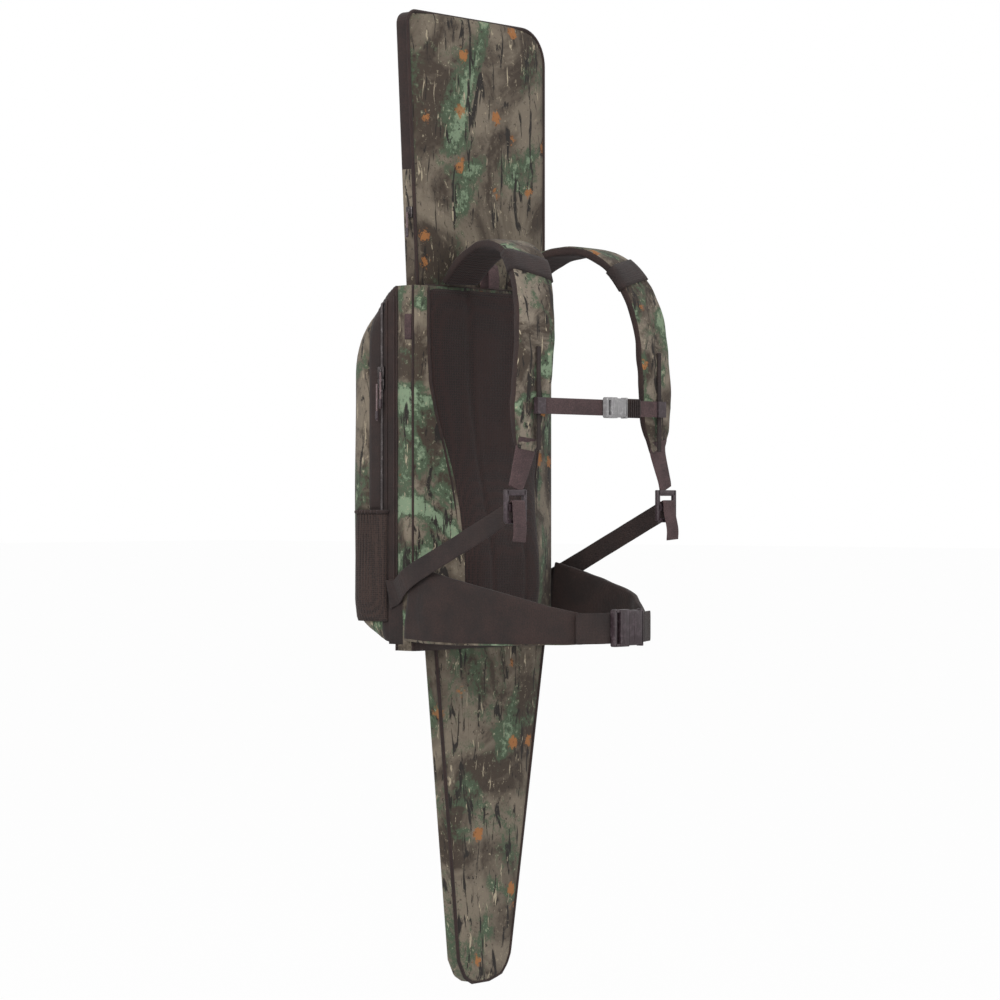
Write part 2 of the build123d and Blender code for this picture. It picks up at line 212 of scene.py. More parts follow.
# ---- Finishes -----------------------------------------------------------------------
@dataclass(frozen=True)
class PrintedPolyester:
    """Woven polyester with a printed woodland camouflage: dull, with a fine thread grain."""

    name: str = "printed_polyester"
    ground: str = "#7d7263"
    earth: str = "#3f342a"
    moss: str = "#465540"
    sage: str = "#7c8f74"
    bark: str = "#1d1713"
    straw: str = "#b3a68e"
    leaf: str = "#a06a3c"
    patch_mm: float = 70.0
    green: float = 0.5
    blot_mm: float = 7.0
    fleck_mm: float = 34.0
    thread_mm: float = 1.4

    def make(self) -> bpy.types.Material:
        """Build the material.

        Returns:
            A camouflage of soft patches, bark streaks, grass blades and dead-leaf flecks.
        """
        made, shader = new_material(self.name, 0.86, Sheen_Weight=0.04, Sheen_Roughness=0.5)
        tree = made.node_tree
        coords = add_node(tree, "TexCoord").outputs["Object"]
        size = 1 / (self.patch_mm * MM)
        broad = add_node(
            tree, "TexNoise",
            {"Vector": coords, "Scale": size, "Detail": 5.0, "Roughness": 0.62, "Distortion": 0.7},
        ).outputs["Fac"]
        shifted = add_node(tree, "Mapping", {"Vector": coords, "Location": (3.1, 1.7, 5.3)}).outputs[0]
        second = add_node(
            tree, "TexNoise", {"Vector": shifted, "Scale": size * 0.8, "Detail": 4.0, "Distortion": 1.1}
        ).outputs["Fac"]
        # Small blots of the print break up every patch edge.
        grain = add_node(
            tree, "TexNoise",
            {"Vector": coords, "Scale": 1 / (self.blot_mm * MM), "Detail": 6.0, "Roughness": 0.75},
        ).outputs["Fac"]
        colour = mix(tree, ramp(tree, broad, 0.42, 0.56), to_linear(self.ground), to_linear(self.earth))
        broken = add_node(
            tree, "Math", {0: grain, 1: 0.42, 2: second}, operation="MULTIPLY_ADD"
        ).outputs[0]
        onset = 0.80 - 0.16 * self.green
        colour = mix(tree, ramp(tree, broken, onset, onset + 0.06), colour, to_linear(self.moss))
        colour = mix(tree, ramp(tree, broken, onset + 0.09, onset + 0.14), colour, to_linear(self.sage))
        # Blades of grass and bark: long thin noise, stretched along the height.
        stretch = (5.0, 5.0, 1.0)
        for shift, lean, fineness, code, start in (
            ((0.0, 0.0, 0.0), 0.35, 16.0, self.bark, 0.60),
            ((2.0, 4.0, 1.0), -0.5, 30.0, self.straw, 0.655),
            ((5.0, 1.0, 7.0), 0.9, 8.0, self.bark, 0.635),
        ):
            turned = add_node(
                tree, "Mapping",
                {"Vector": coords, "Location": shift, "Rotation": (lean, lean, 0.0), "Scale": stretch},
            ).outputs[0]
            streak = add_node(
                tree, "TexNoise",
                {"Vector": turned, "Scale": fineness, "Detail": 6.0, "Roughness": 0.6, "Distortion": 0.9},
            ).outputs["Fac"]
            colour = mix(tree, ramp(tree, streak, start - 0.02, start + 0.02), colour, to_linear(code))
        # Dead-leaf flecks, only in a few places.
        cell = add_node(
            tree, "TexVoronoi", {"Vector": shifted, "Scale": 1 / (self.fleck_mm * MM), "Randomness": 1.0}
        )
        torn = add_node(
            tree, "Math", {0: grain, 1: 1.1, 2: cell.outputs["Distance"]}, operation="MULTIPLY_ADD"
        ).outputs[0]
        leaf = ramp(tree, torn, 0.80, 0.76)
        chosen = add_node(tree, "SeparateColor", {"Color": cell.outputs["Color"]}).outputs[0]
        rare = ramp(tree, chosen, 0.80, 0.82)
        mask = add_node(tree, "Math", {0: leaf, 1: rare}, operation="MULTIPLY").outputs[0]
        colour = mix(tree, mask, colour, to_linear(self.leaf))
        speck = ramp(tree, grain, 0.42, 0.33)
        colour = mix(tree, speck, colour, to_linear(self.bark))
        light = ramp(tree, grain, 0.60, 0.70)
        colour = mix(tree, light, colour, to_linear(self.straw))
        tree.links.new(colour, shader.inputs["Base Color"])
        thread_bump(tree, shader, coords, self.thread_mm, 0.35, broad)
        return made


@dataclass(frozen=True)
class WovenCloth:
    """Plain woven polyester cloth or webbing: dull, ribbed, a little worn and dusty."""

    name: str
    colour: str
    worn: str
    thread_mm: float = 1.2
    depth: float = 0.6
    roughness: float = 0.82

    def make(self) -> bpy.types.Material:
        """Build the cloth's material."""
        made, shader = new_material(self.name, self.roughness, Sheen_Weight=0.05, Sheen_Roughness=0.5)
        tree = made.node_tree
        coords = add_node(tree, "TexCoord").outputs["Object"]
        dust = add_node(
            tree, "TexNoise", {"Vector": coords, "Scale": 1 / (30 * MM), "Detail": 5.0}
        ).outputs["Fac"]
        fuzz = add_node(
            tree, "TexNoise", {"Vector": coords, "Scale": 1 / (1.5 * MM), "Detail": 3.0}
        ).outputs["Fac"]
        colour = mix(tree, ramp(tree, dust, 0.35, 0.75), to_linear(self.colour), to_linear(self.worn))
        darker = ramp(tree, fuzz, 0.35, 0.7)
        colour = mix(tree, 0.55, colour, darker, "MULTIPLY")
        tree.links.new(colour, shader.inputs["Base Color"])
        thread_bump(tree, shader, coords, self.thread_mm, self.depth, dust)
        return made


@dataclass(frozen=True)
class SpacerMesh:
    """Knitted spacer mesh over foam: dark, with a grid of small open holes."""

    name: str
    colour: str
    thread: str
    hole_mm: float = 3.2

    def make(self) -> bpy.types.Material:
        """Build the mesh's material, its holes drawn at about twice their size so that they show."""
        made, shader = new_material(self.name, 0.9, Sheen_Weight=0.05)
        tree = made.node_tree
        coords = add_node(tree, "TexCoord").outputs["Object"]
        holes = add_node(
            tree, "TexVoronoi", {"Vector": coords, "Scale": 1 / (self.hole_mm * MM), "Randomness": 0.25}
        ).outputs["Distance"]
        mask = ramp(tree, holes, 0.25, 0.6)
        colour = mix(tree, mask, to_linear(self.colour), to_linear(self.thread))
        tree.links.new(colour, shader.inputs["Base Color"])
        slub = add_node(tree, "TexNoise", {"Vector": coords, "Scale": 25.0, "Detail": 3.0}).outputs["Fac"]
        fine = add_node(tree, "Bump", {"Height": mask, "Strength": 0.7, "Distance": 0.6 * MM})
        soft = add_node(
            tree, "Bump", {"Height": slub, "Strength": 0.3, "Distance": 4 * MM, "Normal": fine.outputs[0]}
        )
        tree.links.new(soft.outputs[0], shader.inputs["Normal"])
        return made


@dataclass(frozen=True)
class MouldedPlastic:
    """Moulded acetal: smooth, half gloss, with faint scuffs."""

    name: str
    colour: str
    scuff: str
    roughness: float = 0.32
    metallic: float = 0.0

    def make(self) -> bpy.types.Material:
        """Build the plastic's, or a plated metal's, material."""
        made, shader = new_material(self.name, self.roughness, Metallic=self.metallic)
        tree = made.node_tree
        coords = add_node(tree, "TexCoord").outputs["Object"]
        scuffs = add_node(
            tree, "TexNoise", {"Vector": coords, "Scale": 1 / (5 * MM), "Detail": 8.0, "Roughness": 0.7}
        ).outputs["Fac"]
        colour = mix(tree, ramp(tree, scuffs, 0.5, 0.72), to_linear(self.colour), to_linear(self.scuff))
        tree.links.new(colour, shader.inputs["Base Color"])
        rough = add_node(
            tree, "MapRange",
            {"Value": scuffs, "To Min": self.roughness - 0.08, "To Max": self.roughness + 0.2},
        )
        tree.links.new(rough.outputs[0], shader.inputs["Roughness"])
        bump = add_node(tree, "Bump", {"Height": scuffs, "Strength": 0.12, "Distance": 0.2 * MM})
        tree.links.new(bump.outputs[0], shader.inputs["Normal"])
        return made


@dataclass
class Finishes:
    """Every finish on the pack, made once."""

    camo: bpy.types.Material = field(default_factory=lambda: PrintedPolyester().make())
    camo_case: bpy.types.Material = field(
        default_factory=lambda: PrintedPolyester(
            "printed_polyester_case", patch_mm=120.0, green=0.35
        ).make()
    )
    camo_strap: bpy.types.Material = field(
        default_factory=lambda: PrintedPolyester(
            "printed_polyester_strap", ground="#857a6c", patch_mm=60.0, green=0.6
        ).make()
    )
    brown: bpy.types.Material = field(
        default_factory=lambda: WovenCloth("brown_pack_cloth", "#241512", "#38241f", 1.6).make()
    )
    binding: bpy.types.Material = field(
        default_factory=lambda: WovenCloth("binding_tape", "#2a1815", "#3d2822", 1.1).make()
    )
    webbing: bpy.types.Material = field(
        default_factory=lambda: WovenCloth("mauve_webbing", "#463233", "#664d4e", 1.8, 0.8).make()
    )
    dark_webbing: bpy.types.Material = field(
        default_factory=lambda: WovenCloth("dark_webbing", "#241614", "#3a2824", 1.8, 0.8).make()
    )
    pad_mesh: bpy.types.Material = field(
        default_factory=lambda: SpacerMesh("pad_spacer_mesh", "#180d0b", "#2a1815").make()
    )
    pocket_mesh: bpy.types.Material = field(
        default_factory=lambda: SpacerMesh("pocket_mesh", "#1b1311", "#3a2b26", 2.6).make()
    )
    plastic: bpy.types.Material = field(
        default_factory=lambda: MouldedPlastic("dark_acetal", "#35292d", "#5c4f55").make()
    )
    pale_plastic: bpy.types.Material = field(
        default_factory=lambda: MouldedPlastic("pale_acetal", "#8d8b8c", "#b7b5b5").make()
    )
    zip_metal: bpy.types.Material = field(
        default_factory=lambda: MouldedPlastic("plated_zinc", "#4a4545", "#7c7676", 0.35, 0.9).make()
    )
    cord: bpy.types.Material = field(
        default_factory=lambda: WovenCloth("braided_cord", "#7b6566", "#9c8788", 1.0, 0.8).make()
    )
    foam: bpy.types.Material = field(
        default_factory=lambda: WovenCloth("closed_cell_foam", "#2a2a2c", "#3a3a3c", 2.5, 0.3).make()
    )


# ---- Mesh helpers -------------------------------------------------------------------
def finish_mesh(
    name: str,
    points: Sequence[Point],
    faces: Sequence[Sequence[int]],
    materials: Sequence[bpy.types.Material],
    indices: Sequence[int] | None = None,
) -> bpy.types.Object:
    """Turn points and faces into a smooth object.

    Args:
        name: the piece's name.
        points: vertices in metres.
        faces: vertex numbers of each face.
        materials: the piece's material slots.
        indices: the slot of each face, or None for the first.

    Returns:
        The linked object.
    """
    mesh = bpy.data.meshes.new(name)
    mesh.from_pydata([tuple(p) for p in points], [], [tuple(f) for f in faces])
    for material in materials:
        mesh.materials.append(material)
    if indices:
        for polygon, index in zip(mesh.polygons, indices):
            polygon.material_index = index
    shell = bmesh.new()
    shell.from_mesh(mesh)
    bmesh.ops.remove_doubles(shell, verts=shell.verts, dist=1e-6)
    bmesh.ops.recalc_face_normals(shell, faces=shell.faces)
    shell.to_mesh(mesh)
    shell.free()
    piece = bpy.data.objects.new(name, mesh)
    bpy.context.collection.objects.link(piece)
    for polygon in piece.data.polygons:
        polygon.use_smooth = True
    return piece


def apply_modifiers(piece: bpy.types.Object) -> None:
    """Keep the evaluated mesh and drop the modifiers."""
    graph = bpy.context.evaluated_depsgraph_get()
    final = bpy.data.meshes.new_from_object(piece.evaluated_get(graph))
    piece.modifiers.clear()
    piece.data = final


def smooth_path(points: Sequence[Point], steps: int = 8) -> list[Vector]:
    """Run a Catmull-Rom line through points.

    Args:
        points: the places the line passes, in metres.
        steps: pieces between two points.

    Returns:
        The line's points.
    """
    knots = [Vector(p) for p in points]
    knots = [2 * knots[0] - knots[1], *knots, 2 * knots[-1] - knots[-2]]
    line: list[Vector] = []
    for a, b, c, d in zip(knots, knots[1:], knots[2:], knots[3:]):
        for step in range(steps):
            t = step / steps
            line.append(0.5 * (
                2 * b + (c - a) * t + (2 * a - 5 * b + 4 * c - d) * t ** 2
                + (3 * b - a - 3 * c + d) * t ** 3
            ))
    line.append(knots[-2])
    return line


def interpolate(values: Sequence[float], t: float) -> float:
    """Read a value along evenly spaced ones, at t from 0 to 1."""
    spot = min(max(t, 0.0), 1.0) * (len(values) - 1)
    before = min(int(spot), len(values) - 2)
    return values[before] + (values[before + 1] - values[before]) * (spot - before)


def steady(x: float, y: float, z: float) -> Callable[[float], Vector]:
    """A width direction that stays the same along a whole path."""
    return lambda share: Vector((x, y, z))


def grid_faces(rows: int, columns: int) -> list[list[int]]:
    """The four-cornered faces between rows of points, each row as long as the next."""
    return [
        [r * columns + k, r * columns + k + 1, (r + 1) * columns + k + 1, (r + 1) * columns + k]
        for r in range(rows - 1) for k in range(columns - 1)
    ]


def band(
    name: str,
    path: Sequence[Vector],
    widths: Sequence[float],
    thickness: Sequence[float],
    across: Callable[[float], Vector],
    materials: Sequence[bpy.types.Material],
    ring: int = 28,
    squareness: float = 0.35,
    slot_of: Callable[[float, float], int] | None = None,
    ripple: float = 0.0,
) -> bpy.types.Object:
    """Sweep a flat, round-edged section along a path, as a strap or a webbing.

    Args:
        name: the piece's name.
        path: points along its middle, in metres.
        widths: widths spread evenly along the path.
        thickness: thicknesses spread evenly along the path.
        across: the direction of the width at a share of the path's length.
        materials: the piece's material slots.
        ring: points around the section.
        squareness: exponent of the section, smaller is squarer.
        slot_of: the slot for a share of the path and an angle around the section.
        ripple: height of small soft creases, in metres.

    Returns:
        The linked object.
    """
    points: list[Vector] = []
    last = len(path) - 1
    for number, centre in enumerate(path):
        t = number / last
        along = (path[min(number + 1, last)] - path[max(number - 1, 0)]).normalized()
        wide = across(t)
        wide = (wide - along * wide.dot(along)).normalized()
        out = wide.cross(along)
        half_w, half_t = interpolate(widths, t) / 2, interpolate(thickness, t) / 2
        for k in range(ring):
            angle = 2 * pi * k / ring
            c, s = cos(angle), sin(angle)
            x = half_w * (abs(c) ** squareness) * (1 if c >= 0 else -1)
            y = half_t * (abs(s) ** (squareness * 1.6)) * (1 if s >= 0 else -1)
            spot = centre + wide * x + out * y
            if ripple:
                spot += out * (noise.noise(spot * 45) * ripple)
            points.append(spot)
    faces: list[list[int]] = []
    indices: list[int] = []
    for row in range(last):
        for k in range(ring):
            a, b = row * ring + k, row * ring + (k + 1) % ring
            faces.append([a, b, b + ring, a + ring])
            indices.append(slot_of(row / last, (k + 0.5) / ring) if slot_of else 0)
    faces += [list(range(ring)), list(range(last * ring, (last + 1) * ring))]
    indices += [0, 0]
    return finish_mesh(name, points, faces, materials, indices)


def tube(
    name: str, path: Sequence[Vector], radius: float, material: bpy.types.Material, closed: bool = False
) -> bpy.types.Object:
    """Sweep a round section along a path, as piping, a zip's coil or a cord end.

    Args:
        name: the piece's name.
        path: points along its middle, in metres.
        radius: the section's radius in metres.
        material: the piece's material.
        closed: True where the last point joins the first.

    Returns:
        The linked object.
    """
    sides = 10
    points: list[Vector] = []
    count = len(path)
    normal = Vector((0, 0, 1))
    for number, centre in enumerate(path):
        after = path[(number + 1) % count] if closed else path[min(number + 1, count - 1)]
        before = path[number - 1] if closed else path[max(number - 1, 0)]
        along = (after - before).normalized()
        normal = normal - along * normal.dot(along)
        if normal.length < 1e-4:
            normal = along.orthogonal()
        normal.normalize()
        other = along.cross(normal)
        points += [
            centre + (normal * cos(2 * pi * k / sides) + other * sin(2 * pi * k / sides)) * radius
            for k in range(sides)
        ]
    rows = count if closed else count - 1
    faces = [
        [r * sides + k, r * sides + (k + 1) % sides, (r + 1) % count * sides + (k + 1) % sides,
         (r + 1) % count * sides + k]
        for r in range(rows) for k in range(sides)
    ]
    if not closed:
        faces += [list(range(sides)), list(range((count - 1) * sides, count * sides))]
    return finish_mesh(name, points, faces, [material])


def moulded(
    name: str, blocks: Sequence[tuple[Point, Point]], material: bpy.types.Material, bevel: float
) -> bpy.types.Object:
    """Join round-edged bars, each given by its low and high corner, into one moulded piece.

    Args:
        name: the piece's name.
        blocks: low and high corners in metres.
        material: the piece's material.
        bevel: radius of the moulded edges in metres.

    Returns:
        The linked object.
    """
    points: list[Point] = []
    faces: list[list[int]] = []
    for near, far in blocks:
        base = len(points)
        points += [
            (x, y, z) for z in (near[2], far[2]) for y in (near[1], far[1]) for x in (near[0], far[0])
        ]
        faces += [
            [base + k for k in quad]
            for quad in ((0, 1, 3, 2), (4, 6, 7, 5), (0, 4, 5, 1), (2, 3, 7, 6), (0, 2, 6, 4), (1, 5, 7, 3))
        ]
    mesh = bpy.data.meshes.new(name)
    mesh.from_pydata(points, [], faces)
    mesh.materials.append(material)
    piece = bpy.data.objects.new(name, mesh)
    bpy.context.collection.objects.link(piece)
    edge = piece.modifiers.new("edge", "BEVEL")
    edge.width = bevel
    edge.segments = 4
    apply_modifiers(piece)
    for polygon in piece.data.polygons:
        polygon.use_smooth = True
    return piece


def stack(
    name: str,
    rings: Sequence[Sequence[Point]],
    materials: Sequence[bpy.types.Material],
    slot_of: Callable[[Vector], int] | None = None,
) -> bpy.types.Object:
    """Skin a stack of closed rings, capped at both ends.

    Args:
        name: the piece's name.
        rings: rings with the same number of points.
        materials: the piece's material slots.
        slot_of: the slot for a face centre.

    Returns:
        The linked object.
    """
    count = len(rings[0])
    points = [Vector(p) for one in rings for p in one]
    faces = [
        [r * count + k, r * count + (k + 1) % count, (r + 1) * count + (k + 1) % count, (r + 1) * count + k]
        for r in range(len(rings) - 1) for k in range(count)
    ]
    faces += [list(range(count)), list(range((len(rings) - 1) * count, len(rings) * count))]
    indices = None
    if slot_of:
        indices = [slot_of(sum((points[k] for k in one), Vector()) / len(one)) for one in faces]
    return finish_mesh(name, points, faces, materials, indices)


def skin(piece: bpy.types.Object, thickness: float) -> None:
    """Give an open surface a cloth's thickness, inwards."""
    solid = piece.modifiers.new("cloth", "SOLIDIFY")
    solid.thickness = thickness
    solid.offset = -1.0
    apply_modifiers(piece)


def place(piece: bpy.types.Object, body: str, slot: str, *nodes: str) -> bpy.types.Object:
    """Ride a piece on its body and hide the nodes it stands for.

    Args:
        piece: the finished piece.
        body: the body it moves with.
        slot: not used.
        nodes: the CAD nodes it replaces.

    Returns:
        The same piece.
    """
    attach(piece, body)
    if nodes:
        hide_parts(*nodes)
    LOG.info("%s on %s", piece.name, body)
    return piece


def refinish(node: str, material: bpy.types.Material) -> None:
    """Give a CAD node that stays in view its finish."""
    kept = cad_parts[node]
    kept.data.materials.clear()
    kept.data.materials.append(material)


# ---- Places read from the frame -----------------------------------------------------
def low(node: str, axis: int) -> float:
    """A node's lowest corner along an axis, in metres."""
    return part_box(node)[0][axis]


def high(node: str, axis: int) -> float:
    """A node's highest corner along an axis, in metres."""
    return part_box(node)[1][axis]


def middle(node: str) -> Vector:
    """The middle of a node's box."""
    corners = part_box(node)
    return (Vector(corners[0]) + Vector(corners[1])) / 2


def span(start: float, end: float, count: int) -> list[float]:
    """Evenly spaced values, both ends included."""
    return [start + (end - start) * k / (count - 1) for k in range(count)]


# ---- Gun case -----------------------------------------------------------------------
@dataclass
class GunCase:
    """The tall case: a hollow shell, a padded front over the flap, piping, a zip slider."""

    finishes: Finishes
    wall: float = 5 * MM
    gusset_change: float = 115 * MM
    corner: float = 45 * MM
    small_corner: float = 16 * MM

    def __post_init__(self) -> None:
        """Read the case's planes from the frame."""
        self.front = low("gun_case_front", 1)
        self.mouth = low("gun_case_shell", 1)
        self.back = high("gun_case_shell", 1)
        self.top = high("gun_case_shell", 2)
        self.tip = low("gun_case_shell", 2)
        self.fold = high("gun_case_front", 2)

    def edges(self, z: float) -> tuple[float, float]:
        """The left and right edge at a height.

        Args:
            z: the height in metres.

        Returns:
            Two places along X.
        """
        up = (z - self.tip) / MM
        tall = (self.top - self.tip) / MM
        left_knots = ((0, -16), (8, -30), (30, -42), (120, -52), (428, -86), (886, -121), (tall, -141))
        right_knots = ((0, 16), (6, 40), (18, 51), (31, 57.5), (120, 73), (428, 127), (tall, 127))
        sides = []
        for knots in (left_knots, right_knots):
            for (a, xa), (b, xb) in zip(knots, knots[1:]):
                if up <= b or b == tall:
                    sides.append((xa + (xb - xa) * (up - a) / (b - a)) * MM)
                    break
        left, right = sides
        over = z - (self.top - self.corner)
        if over > 0:
            right -= self.corner - sqrt(max(self.corner ** 2 - over ** 2, 0))
        over = z - (self.top - self.small_corner)
        if over > 0:
            left += self.small_corner - sqrt(max(self.small_corner ** 2 - over ** 2, 0))
        return left, right

    def heights(self) -> list[float]:
        """Row heights, closer together at the tip, the fold and the top corners."""
        rows = span(self.tip, self.tip + 30 * MM, 10)
        rows += span(self.tip + 36 * MM, self.fold - 14 * MM, 84)
        rows += span(self.fold - 10 * MM, self.fold + 14 * MM, 9)
        rows += span(self.fold + 20 * MM, self.top - self.corner, 22)
        return rows + [self.top - self.corner * (1 - sin(pi / 2 * k / 12)) for k in range(1, 13)]

    def build_front(self) -> None:
        """Make the padded front, flap included, as one cloth."""
        columns = 26
        rings = []
        for z in self.heights():
            left, right = self.edges(z)
            ring = []
            for k in range(columns):
                u = -1 + 2 * k / (columns - 1)
                x = left + (right - left) * (u + 1) / 2
                rounded = 3.6 * MM * abs(u) ** 5
                end = min(1.0, (self.top - z) / (12 * MM), (z - self.tip) / (12 * MM))
                rounded += 2.5 * MM * (1 - max(end, 0)) ** 2
                crease = noise.noise(Vector((x * 14, 3.0, z * 6))) * 0.9 * MM
                proud = 2.2 * MM * (1 - u * u) if z > 0 else 0
                ring.append((x, self.front + rounded + abs(crease) - proud, z))
            ring += [(x, self.mouth - 0.5 * MM, z) for x, _, z in reversed(ring)]
            rings.append(ring)
        front = stack("case_front_cloth", rings, [self.finishes.camo_case])
        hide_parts("gun_case_front", "gun_case_flap")
        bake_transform(front)
        LOG.info("case_front_cloth bends at the flap")

    def build_shell(self) -> None:
        """Make the back, the gusset and the lining as one hollow cloth tray."""
        rings = []
        for z in self.heights():
            left, right = self.edges(z)
            closed = z > self.top - self.wall or z < self.tip + 1.5 * self.wall
            inner_back = self.mouth + 0.2 * MM if closed else self.back - self.wall
            r = 5 * MM
            ring = [(left, self.mouth, z)]
            ring += [(left, y, z) for y in span(self.mouth + 4 * MM, self.back - r, 4)]
            ring += [
                (left + r - r * cos(pi / 2 * k / 4), self.back - r + r * sin(pi / 2 * k / 4), z)
                for k in range(1, 5)
            ]
            for x in span(left + r, right - r, 14)[1:-1]:
                puff = noise.noise(Vector((x * 12, 8.0, z * 6))) * 0.8 * MM
                ring.append((x, self.back + min(puff, 0.2 * MM), z))
            ring += [
                (right - r * (1 - cos(pi / 2 * k / 4)), self.back - r + r * sin(pi / 2 * k / 4), z)
                for k in range(4, 0, -1)
            ]
            ring += [(right, y, z) for y in span(self.back - r, self.mouth + 4 * MM, 4)]
            ring += [(right, self.mouth, z), (right - self.wall, self.mouth, z)]
            ring += [(right - self.wall, inner_back, z), (left + self.wall, inner_back, z)]
            ring += [(left + self.wall, self.mouth, z)]
            rings.append(ring)

        def slot_of(centre: Vector) -> int:
            """Brown gusset above the change, printed below it and on the back, lining inside."""
            left, right = self.edges(centre.z)
            if left + 0.5 * self.wall < centre.x < right - 0.5 * self.wall:
                return 1 if centre.y < self.back - 0.7 * self.wall else 0
            return 1 if centre.z > self.gusset_change else 0

        shell = stack("case_shell_cloth", rings, [self.finishes.camo_case, self.finishes.brown], slot_of)
        place(shell, "gun_case", "case_cloth", "gun_case_shell")

    def build_trim(self) -> None:
        """Make the piping round the front, the zip's slider and its pull."""
        rows = self.heights()
        lefts = [Vector((self.edges(z)[0] - 0.6 * MM, self.mouth - 0.8 * MM, z)) for z in rows]
        rights = [Vector((self.edges(z)[1] + 0.6 * MM, self.mouth - 0.8 * MM, z)) for z in rows]
        loop = lefts + list(reversed(rights))
        piping = tube("case_piping", loop, 2.4 * MM, self.finishes.binding, closed=True)
        place(piping, "gun_case", "case_cloth")
        refinish("gun_case_liner", self.finishes.foam)
        dress_slider("gun_case_slider", self.finishes)
        dress_pull("gun_case_pull", self.finishes)

    def build(self) -> None:
        """Make the whole case."""
        self.build_front()
        self.build_shell()
        self.build_trim()


def dress_slider(node: str, finishes: Finishes) -> None:
    """Put a round-edged zip slider with a raised bridge in a slider's place."""
    (x0, y0, z0), (x1, y1, z1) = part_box(node)
    centre, half_bridge, inset = (y0 + y1) / 2, 2 * MM, 3 * MM
    blocks = [
        ((x0 + 1.5 * MM, y0, z0), (x1, y1, z1)),
        ((x0, centre - half_bridge, z0 + inset), (x1, centre + half_bridge, z1 - inset)),
    ]
    place(moulded(f"{node}_body", blocks, finishes.zip_metal, 0.8 * MM), node, "zip_metal", node)


def dress_pull(node: str, finishes: Finishes) -> None:
    """Put a knotted cord pull in a pull's place."""
    (x0, y0, z0), (x1, y1, z1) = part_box(node)
    x, y = (x0 + x1) / 2, (y0 + y1) / 2
    cord_radius, grip_radius, grip = 1.3 * MM, 2.1 * MM, 12 * MM
    path = smooth_path([(x, y, z1 - 1.4 * MM), (x, y, z1 - grip), (x, y, z0 + grip), (x, y, z0)])
    cord = tube(f"{node}_cord", path, cord_radius, finishes.cord)
    place(cord, node, "cord", node)
    knot = tube(
        f"{node}_knot", smooth_path([(x, y, z0 + grip), (x, y, z0 + 8 * MM), (x, y, z0 + 1 * MM)], 4),
        grip_radius, finishes.plastic,
    )
    place(knot, node, "cord")


